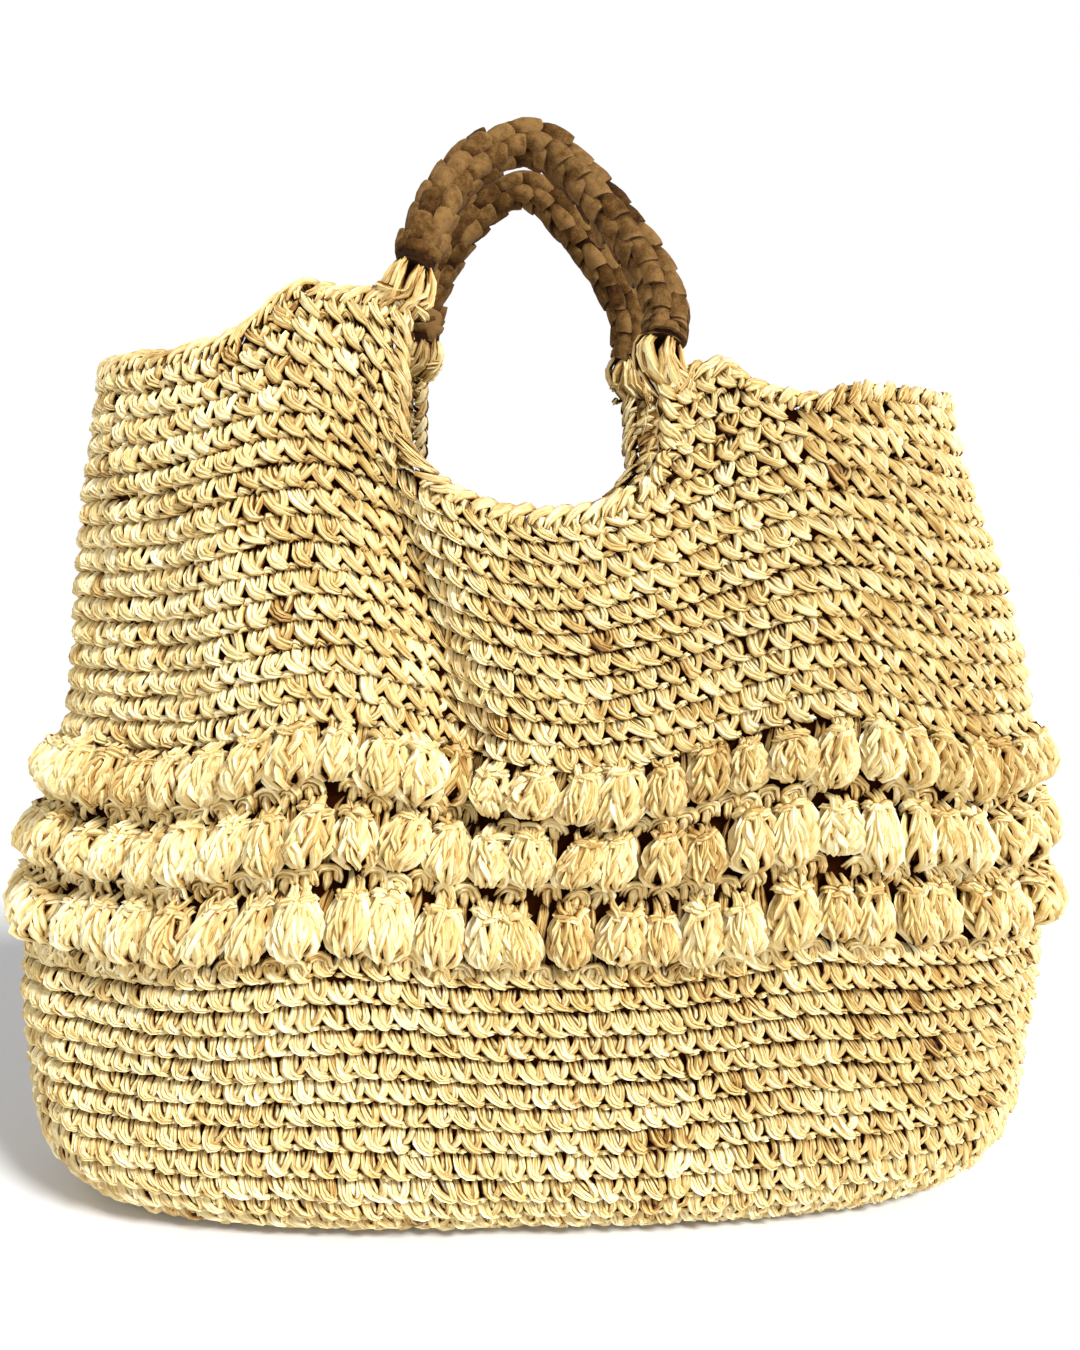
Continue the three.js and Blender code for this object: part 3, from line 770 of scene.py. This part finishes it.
class Crown:
    """A handle's centre line by length, in its own plane, with the straight collar stretch at both ends."""

    def __init__(self, skew):
        foot = LASHING_RADIUS + GAP + COLLAR_LENGTH + GAP
        angle = np.linspace(np.pi, 0, 400)
        c, rising = np.cos(angle), np.abs(np.sin(angle)) ** 1.5
        x = HANDLE_HALF_SPAN * c * (1 - CROWN_PINCH * rising) + skew * rising * (1 + 0.6 * c**2)
        z = foot + (HANDLE_RISE - foot) * np.sin(angle)
        low = np.linspace(LASHING_RADIUS + GAP, z[0], 12, endpoint=False)
        x = np.concatenate([np.full(12, x[0]), x, np.full(12, x[-1])])
        z = np.concatenate([low, z, low[::-1]])
        self.path = np.stack([x, z], -1)
        self.length = length_along(self.path)
        self.total = self.length[-1]
        self.tangent = unit(np.gradient(self.path, axis=0))

    def place(self, along, angle, radius):
        """Points by the length along the handle, the angle round it (0 is outside the bow) and a radius."""
        x, z, tx, tz = (np.interp(along, self.length, column) for column in (*self.path.T, *self.tangent.T))
        size = np.hypot(tx, tz)
        outwards = radius * np.cos(angle)
        return np.stack([x - outwards * tz / size, -radius * np.sin(angle), z + outwards * tx / size], -1)


BLOCK = 11.5  # pitch of the plait's blocks along the handle
COLUMNS = 6


def suede_block(crown, along, angle, length, width, tilt, bulge):
    """One bent strip end of the plait: a rounded patch, high at one end and tucked in at the other."""
    points = 9  # along each side
    v, u = np.meshgrid(np.linspace(-1, 1, points), np.linspace(-1, 1, points), indexing="ij")
    reach = (np.abs(u) ** 6 + np.abs(v) ** 6 + 1e-9) ** (1 / 6)
    limit = np.maximum(np.abs(u), np.abs(v)) / reach
    u, v = u * limit, v * limit
    edge = np.maximum(np.abs(u), np.abs(v))
    lie = v * length / 2 + u * tilt * width / 2 + rng.normal(0, 0.12, u.shape) * (edge > 0.95)
    turn = angle + (u * width / 2 - v * tilt * length * 0.3) / COVER_RADIUS
    slump, bend = rng.uniform(-0.6, 0.6), rng.uniform(-0.5, 0.5)
    dome = bulge * (1 - 0.8 * np.abs(u) ** 2.2 - 0.3 * v**2)
    height = COVER_RADIUS - 3.3 + dome + 1.3 * v + slump * u + bend * u * v + rng.normal(0, 0.08, u.shape)
    over = crown.place(along + lie, turn, height).reshape(-1, 3)
    under = crown.place(along + lie * 0.96, turn, height - 2.0).reshape(-1, 3)
    worn = np.clip((edge - 0.93) * 14, 0, 1) * rng.uniform(0.1, 1)
    # Painted shade: darker towards the end that tucks under the next block.
    deep = np.clip(-v * 1.6 - 0.3, 0, 1) * 0.8
    flat = np.stack([u * width / 2, v * length / 2, worn, deep], -1).reshape(-1, 4)
    # The underside's coordinates: worn 0.5 and painted shade 0.6.
    tucked = flat * (1, 1, 0, 0) + (0, 0, 0.5, 0.6)
    verts = np.concatenate([over, under])
    return (verts, slab_faces(points, points), np.zeros((0, 3), int), np.vstack([flat, tucked]),
            np.full(len(verts), rng.normal(0, 1)))


def plait(crown):
    """The plaited cover: staggered blocks in columns round the handle, twisting a little on their way."""
    parts = []
    first = COLLAR_LENGTH - 2
    rows = int(round((crown.total - 2 * first) / BLOCK))
    pitch = (crown.total - 2 * first) / rows
    width = 2 * np.pi * COVER_RADIUS / COLUMNS
    for column in range(COLUMNS):
        angle = 2 * np.pi * column / COLUMNS
        # Blocks on the inside of the bow are pressed flatter.
        pressed = 0.15 - 0.15 * math.cos(angle)
        for row in range(rows + 1):
            along = first + (row + 0.5 * (column % 2)) * pitch
            if along > crown.total - first + 2:
                continue
            twist = 0.35 * math.sin(2.2 * math.pi * along / crown.total)
            lay_over = 0.34 if column % 2 else -0.34
            parts.append(suede_block(
                crown, along + rng.normal(0, 0.6), angle + twist + rng.normal(0, 0.05),
                pitch * rng.uniform(1.10, 1.32), width * rng.uniform(1.1, 1.36),
                lay_over + rng.normal(0, 0.12), rng.uniform(2.6, 4.0) - pressed))
    return parts


def tube(crown, radius, start, end, steps, sides):
    """The round filling along the handle, under the plait, painted dark as the shade that shows between the
    strips over it.
    """
    along = np.linspace(start, end, steps)
    angle = np.linspace(0, 2 * np.pi, sides, endpoint=False)
    verts = crown.place(along[:, None], angle[None, :] + 0 * along[:, None], radius).reshape(-1, 3)
    coords = np.zeros((len(verts), 4))
    coords[:, 0] = np.tile(angle * radius, steps)
    coords[:, 1] = np.repeat(along, sides)
    # Painted shade: the filling is fully dark (edge 1, tint -1.5).
    coords[:, 3] = 1
    return verts, *tube_faces(steps, sides), coords, np.full(len(verts), -1.5)


def collar_band(crown, end):
    """The wound collar: three wraps of suede strips round one end of the handle."""
    tail = crown.total - COLLAR_LENGTH
    low, high = (0.3, COLLAR_LENGTH + 2) if end < 0 else (tail - 2, crown.total - 0.3)
    parts = [tube(crown, 7.2, low, high, 6, 14)]
    start = 0.0 if end < 0 else tail - 1
    at_ear = 0 if end < 0 else 2
    strips = 6
    for wrap in range(3):
        for i in range(strips):
            angle = 2 * np.pi * (i + 0.5 * wrap) / strips + rng.normal(0, 0.08)
            along = start + 2.6 + wrap * 3.9 + rng.normal(0, 0.4)
            bulge = rng.uniform(2.4, 3.1)
            if wrap == at_ear:  # slimmer, to clear the ear when the handle is down
                along, bulge = along - end * 1.8, bulge - 3.0
            length = rng.uniform(4.6, 5.8)
            parts.append(suede_block(crown, along, angle, length, 12.5, rng.normal(0.08, 0.07), bulge))
    return parts


def hinge(name):
    """The middle of a handle's hinge axis, in mm."""
    joint = next(j for j in frame["record"]["behaviour"]["joints"] if j["name"] == f"{name}_handle_swing")
    return np.array(joint["pos_m"]) / MM


def axes_of(name):
    """A handle's own directions in the bag: along its hinge axis, towards its front and up its plane."""
    handle = HANDLES[name]
    c, s, upright = math.cos(handle.tilt), math.sin(handle.tilt), math.cos(handle.lean)
    along = np.array((c, 0, -s))
    up = np.array((s * upright, -handle.face * math.sin(handle.lean), c * upright))
    return along, np.cross(along, up), up


def stand_up(parts, name):
    """Moves a handle's parts from its own plane to its place on the hinge axis."""
    along, forward, up = axes_of(name)
    turned = np.stack([along, -forward, up])
    return [(hinge(name) + verts @ turned, *rest) for verts, *rest in parts]


def ear_wrap(name, side):
    """Raffia strands that gather the top of an ear under the collar, across the hinge."""
    along, _, up = axes_of(name)
    origin = hinge(name) + side * HANDLE_HALF_SPAN * along
    outwards = side * along
    deep = np.array((0, 1, 0))
    parts = []

    def around(angle, drop, rise, wide, thick, shift):
        """A point round the gathered top of the ear: `drop` goes straight down, `rise` up the handle."""
        c, s = math.cos(angle), math.sin(angle)
        return origin + outwards * (shift + c * wide) + deep * s * thick - (0, 0, drop) + up * rise

    def add(path, width, thick, steps, facing, taper, tint):
        strip = ribbon(path, width, thick, steps=steps, facing=facing, taper=taper)
        parts.append((*strip, np.full(len(strip[0]), rng.normal(tint, 1.2))))

    gathered, slanted = 15, 5
    for i in range(gathered):
        angle = 2 * np.pi * (i + rng.uniform(-0.35, 0.35)) / gathered
        twist = rng.uniform(-0.55, 0.55)
        path = [
            around(angle - twist, 13 + rng.uniform(-3, 2), 0, 7.5, 1.2, 9.0),
            around(angle - twist, 8.5, 0, 9.0, 5.0, 5.0),
            around(angle, 5, 0, 9.6, 6.4, 1.8),
            around(angle + twist * 0.5, 0, 1.5, 8.6, 7.0, 0),
            around(angle + twist, 0, 7.5, 5.8, 5.4, 0),
        ]
        path = np.asarray(path) + rng.normal(0, 0.5, (5, 3))
        facing = outwards * math.cos(angle) + deep * math.sin(angle)
        add(path, rng.uniform(4.4, 6.4), 2.3, 9, facing, 0.6, -2.6)
    for _ in range(slanted):
        start = rng.uniform(0, 2 * np.pi)
        slope = rng.uniform(-4, 4)
        low = rng.uniform(-1, 13)
        angles = np.linspace(start, start + rng.uniform(1.1, 1.7), 5)
        path = [around(angle, low + slope * k / 4, 0, 9.8 + 0.1 * low, 6.6 - 0.1 * low, 1.5 + 0.25 * low)
                for k, angle in enumerate(angles)]
        for k in (0, 4):
            path[k] = path[k] + (origin - path[k]) * 0.2
        add(path, rng.uniform(3.2, 4.6), 2.2, 8, unit(path[2] - origin), 0.5, -2.2)
    return parts


# ---- materials ----


def new_material(name):
    material = bpy.data.materials.new(name)
    material.use_nodes = True
    tree = material.node_tree
    return material, tree, tree.nodes["Principled BSDF"]


def node(tree, kind, **values):
    made = tree.nodes.new(kind)
    for key, value in values.items():
        if key in made.inputs:
            made.inputs[key].default_value = value
        else:
            setattr(made, key, value)
    return made


def attribute(tree, name, output="Fac"):
    return node(tree, "ShaderNodeAttribute", attribute_name=name).outputs[output]


def ramp(tree, factor, stops):
    made = node(tree, "ShaderNodeValToRGB")
    elements = made.color_ramp.elements
    while len(elements) < len(stops):
        elements.new(0.5)
    for element, (position, colour) in zip(elements, stops):
        element.position = position
        element.color = (*colour, 1)
    tree.links.new(factor, made.inputs["Fac"])
    return made.outputs["Color"]


def feed(tree, value, socket):
    """Links an output to a socket, or gives the socket a plain value."""
    if isinstance(value, bpy.types.NodeSocket):
        tree.links.new(value, socket)
    else:
        socket.default_value = value


def maths(tree, operation, *values):
    made = node(tree, "ShaderNodeMath", operation=operation)
    for value, socket in zip(values, made.inputs):
        feed(tree, value, socket)
    return made.outputs[0]


def split_up(tree, vector):
    made = node(tree, "ShaderNodeSeparateXYZ")
    feed(tree, vector, made.inputs[0])
    return made.outputs


def noise(tree, vector, **values):
    made = node(tree, "ShaderNodeTexNoise", **values)
    feed(tree, vector, made.inputs["Vector"])
    return made.outputs["Fac"]


def bump(tree, height, strength, distance):
    made = node(tree, "ShaderNodeBump", Strength=strength, Distance=distance)
    feed(tree, height, made.inputs["Height"])
    return made.outputs[0]


def finished(tree, shader, **values):
    """Fills the shader's sockets. Their names are written with _ for a space."""
    for name, value in values.items():
        feed(tree, value, shader.inputs[name.replace("_", " ")])


def mixed(tree, factor, a, b):
    made = node(tree, "ShaderNodeMix", data_type="RGBA")
    for value, socket in zip((factor, a, b), (made.inputs[0], made.inputs[6], made.inputs[7])):
        feed(tree, value, socket)
    return made.outputs[2]


def raffia_material():
    """Dried palm fibre: pale straw with satin sheen, fine lines along each strand and a drifting tint,
    darkened by painted shade from the edge attribute.
    """
    material, tree, shader = new_material("raffia")
    strand = attribute(tree, "strand", "Vector")
    squeezed = node(tree, "ShaderNodeVectorMath", operation="MULTIPLY")
    feed(tree, strand, squeezed.inputs[0])
    feed(tree, (1.2, 0.07, 1.0), squeezed.inputs[1])
    fibre = noise(tree, squeezed.outputs[0], Scale=1.0, Detail=3.0, Roughness=0.6)
    blotch = noise(tree, strand, Scale=0.16, Detail=2.0)
    edge = attribute(tree, "edge")
    shade = maths(tree, "MULTIPLY_ADD", attribute(tree, "tint"), 0.06, 0.71)
    shade = maths(tree, "ADD", shade, maths(tree, "MULTIPLY_ADD", blotch, 0.4, -0.2))
    shade = maths(tree, "ADD", shade, maths(tree, "MULTIPLY_ADD", fibre, 1.7, -0.85))
    # Painted shade: darker with the square of edge, in creases, at rims and underneath, and on the dark
    # sheets.
    painted_shade = maths(tree, "MULTIPLY", maths(tree, "MULTIPLY", edge, edge), 0.75)
    colour = ramp(tree, maths(tree, "SUBTRACT", shade, painted_shade), [
        (0.0, (0.026, 0.006, 0.001)), (0.14, (0.17, 0.058, 0.007)), (0.32, (0.46, 0.26, 0.062)),
        (0.52, (0.70, 0.51, 0.20)), (0.74, (0.84, 0.705, 0.36)), (1.0, (0.97, 0.92, 0.68)),
    ])
    finished(
        tree, shader, Base_Color=colour, Normal=bump(tree, fibre, 0.55, 0.0006),
        Roughness=maths(tree, "MULTIPLY_ADD", fibre, 0.35, 0.33),
        Sheen_Weight=0.04, Sheen_Roughness=0.4,
        # Less specular where there is painted shade.
        Specular_IOR_Level=maths(tree, "MULTIPLY_ADD", edge, -0.5, 0.5),
    )
    return material


def suede_material():
    """Brushed suede: matt, mottled, with a short nap, and paler where the cut edges are worn; darker with
    painted shade from the edge attribute.
    """
    material, tree, shader = new_material("suede")
    place = node(tree, "ShaderNodeTexCoord").outputs["Object"]
    mottle = noise(tree, place, Scale=260.0, Detail=4.0, Roughness=0.65)
    nap = noise(tree, place, Scale=1500.0, Detail=3.0, Roughness=0.7)
    patch = noise(tree, place, Scale=70.0, Detail=2.0)
    shade = maths(tree, "MULTIPLY_ADD", attribute(tree, "tint"), 0.13, -0.38)
    for texture, share in ((mottle, 1.0), (patch, 0.4), (nap, 0.65)):
        shade = maths(tree, "ADD", shade, maths(tree, "MULTIPLY", texture, share))
    # Painted shade: tucked block ends, undersides and the filling go darker.
    painted_shade = maths(tree, "MULTIPLY", attribute(tree, "edge"), 0.5)
    colour = ramp(tree, maths(tree, "SUBTRACT", shade, painted_shade), [
        (0.0, (0.022, 0.008, 0.002)), (0.2, (0.034, 0.013, 0.003)), (0.5, (0.100, 0.046, 0.011)),
        (0.85, (0.235, 0.128, 0.042)),
    ])
    rubbed = split_up(tree, attribute(tree, "strand", "Vector"))[2]
    worn = maths(tree, "MULTIPLY", rubbed, maths(tree, "MULTIPLY", mottle, 0.5))
    height = maths(tree, "ADD", nap, maths(tree, "MULTIPLY", mottle, 1.5))
    finished(
        tree, shader, Base_Color=mixed(tree, worn, colour, (0.36, 0.22, 0.10, 1)), Roughness=0.88,
        Sheen_Weight=0.02, Sheen_Roughness=0.5, Specular_IOR_Level=0.06,
        Normal=bump(tree, height, 0.5, 0.0005),
    )
    return material


# ---- stage ----

CAMERA_DISTANCE, CAMERA_PITCH, CAMERA_SIDE, AIM_HEIGHT = 0.521, math.radians(6), -0.022, 0.226
FOCAL = 38.6  # mm on a 36 mm sensor


def make_camera():
    camera = placed("camera", bpy.data.cameras.new("camera"))
    camera.data.sensor_fit = "HORIZONTAL"
    camera.data.sensor_width = 36
    camera.data.lens = FOCAL
    camera.data.clip_start = 0.02
    camera.location = (
        CAMERA_SIDE,
        -CAMERA_DISTANCE * math.cos(CAMERA_PITCH),
        AIM_HEIGHT + CAMERA_DISTANCE * math.sin(CAMERA_PITCH),
    )
    aim = Vector((0, 0, AIM_HEIGHT)) - camera.location
    camera.rotation_euler = aim.to_track_quat("-Z", "Y").to_euler()
    bpy.context.scene.camera = camera


def make_world():
    """White all round the horizon, dimmer overhead, so that the sun draws the crochet's relief."""
    world = bpy.data.worlds.new("studio")
    bpy.context.scene.world = world
    world.use_nodes = True
    tree = world.node_tree
    upwards = split_up(tree, node(tree, "ShaderNodeTexCoord").outputs["Generated"])[2]
    sky = ramp(tree, upwards, [(0.45, (1.0, 1.0, 1.0)), (0.62, (0.30, 0.30, 0.31))])
    feed(tree, sky, tree.nodes["Background"].inputs[0])
    feed(tree, 1.0, tree.nodes["Background"].inputs[1])
    bpy.context.scene.view_settings.view_transform = "Standard"


def make_floor():
    mesh = bpy.data.meshes.new("floor")
    far = 12.0
    mesh.from_pydata([(-far, -far, 0), (far, -far, 0), (far, far, 0), (-far, far, 0)], [], [(0, 1, 2, 3)])
    floor = placed("floor", mesh)
    material, tree, shader = new_material("floor_white")
    finished(tree, shader, Base_Color=(0.93, 0.93, 0.93, 1), Roughness=0.7)
    mesh.materials.append(material)


def make_sun():
    light = bpy.data.lights.new("sun", "SUN")
    light.energy = 3.9
    light.angle = math.radians(14)
    direction = Vector((-0.95, 1.05, -1.2))
    placed("sun", light).rotation_euler = direction.to_track_quat("-Z", "Y").to_euler()


# ---- the bag ----

SIDES = {"left": -1, "right": 1}
make_camera()
make_world()
make_floor()
make_sun()
raffia = raffia_material()
suede = suede_material()


def body_piece(name, parts, *nodes):
    obj = new_piece(name, merged(parts), raffia, "raffia")
    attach(obj, "bag")
    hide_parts(*nodes)


def suede_piece(name, parts, prefix, *nodes):
    obj = new_piece(name, merged(stand_up(parts, prefix)), suede, "suede")
    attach(obj, f"{prefix}_handle")
    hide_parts(*nodes)


def handle_pieces(prefix):
    """A plaited handle with its two windings, and the raffia wraps that blend from the bag to it."""
    crown = Crown(HANDLES[prefix].skew)
    cover = [*plait(crown), tube(crown, COVER_RADIUS - 2.2, 2.0, crown.total - 2.0, 60, 16)]
    suede_piece(f"{prefix}_plait", cover, prefix, f"{prefix}_handle_cover", f"{prefix}_handle_core")
    for name, side in SIDES.items():
        place = f"{prefix}_{name}"
        suede_piece(f"{place}_winding", collar_band(crown, side), prefix, f"{place}_collar")
        wrap = new_piece(f"{place}_ear_wrap", merged(ear_wrap(prefix, side)), raffia, "raffia")
        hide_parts(f"{place}_lashing")
        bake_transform(wrap)


for i, parts in enumerate(band(BASE_MIDDLE, 0, BASE_ROUNDS, 2)):
    body_piece(f"base_crochet_{i + 1}", parts, "base_panel")
for i, parts in enumerate(band(0, LOWER_LENGTH, LOWER_ROUNDS, 5, LOWER_FILL)):
    body_piece(f"lower_crochet_{i + 1}", parts, "lower_wall")
for i in range(3):
    low = LOWER_LENGTH + i * ROUND_PITCH
    nodes = [f"bobble_round_{i + 1}"] + ([f"spacer_round_{i}"] if i else [])
    for half, parts in enumerate(bobble_round(low)):
        body_piece(f"bobbles_{i + 1}_{'ab'[half]}", parts, *nodes)
for i, parts in enumerate(band(TOP_OF_BOBBLES, TOP_OF_UPPER, UPPER_ROUNDS, 4, UPPER_FILL)):
    body_piece(f"upper_crochet_{i + 1}", parts, "upper_wall")
for name, side in SIDES.items():
    body_piece(f"{name}_wing_crochet", wing(side), f"{name}_wing")
for name, side in SIDES.items():
    body_piece(f"{name}_mouth_chain", mouth_edging(side), f"{name}_mouth_edging")
for name, handle in HANDLES.items():
    body_piece(f"{name}_opening_chain", opening_edging(handle.face), f"{name}_opening_edging")
for name in HANDLES:
    handle_pieces(name)
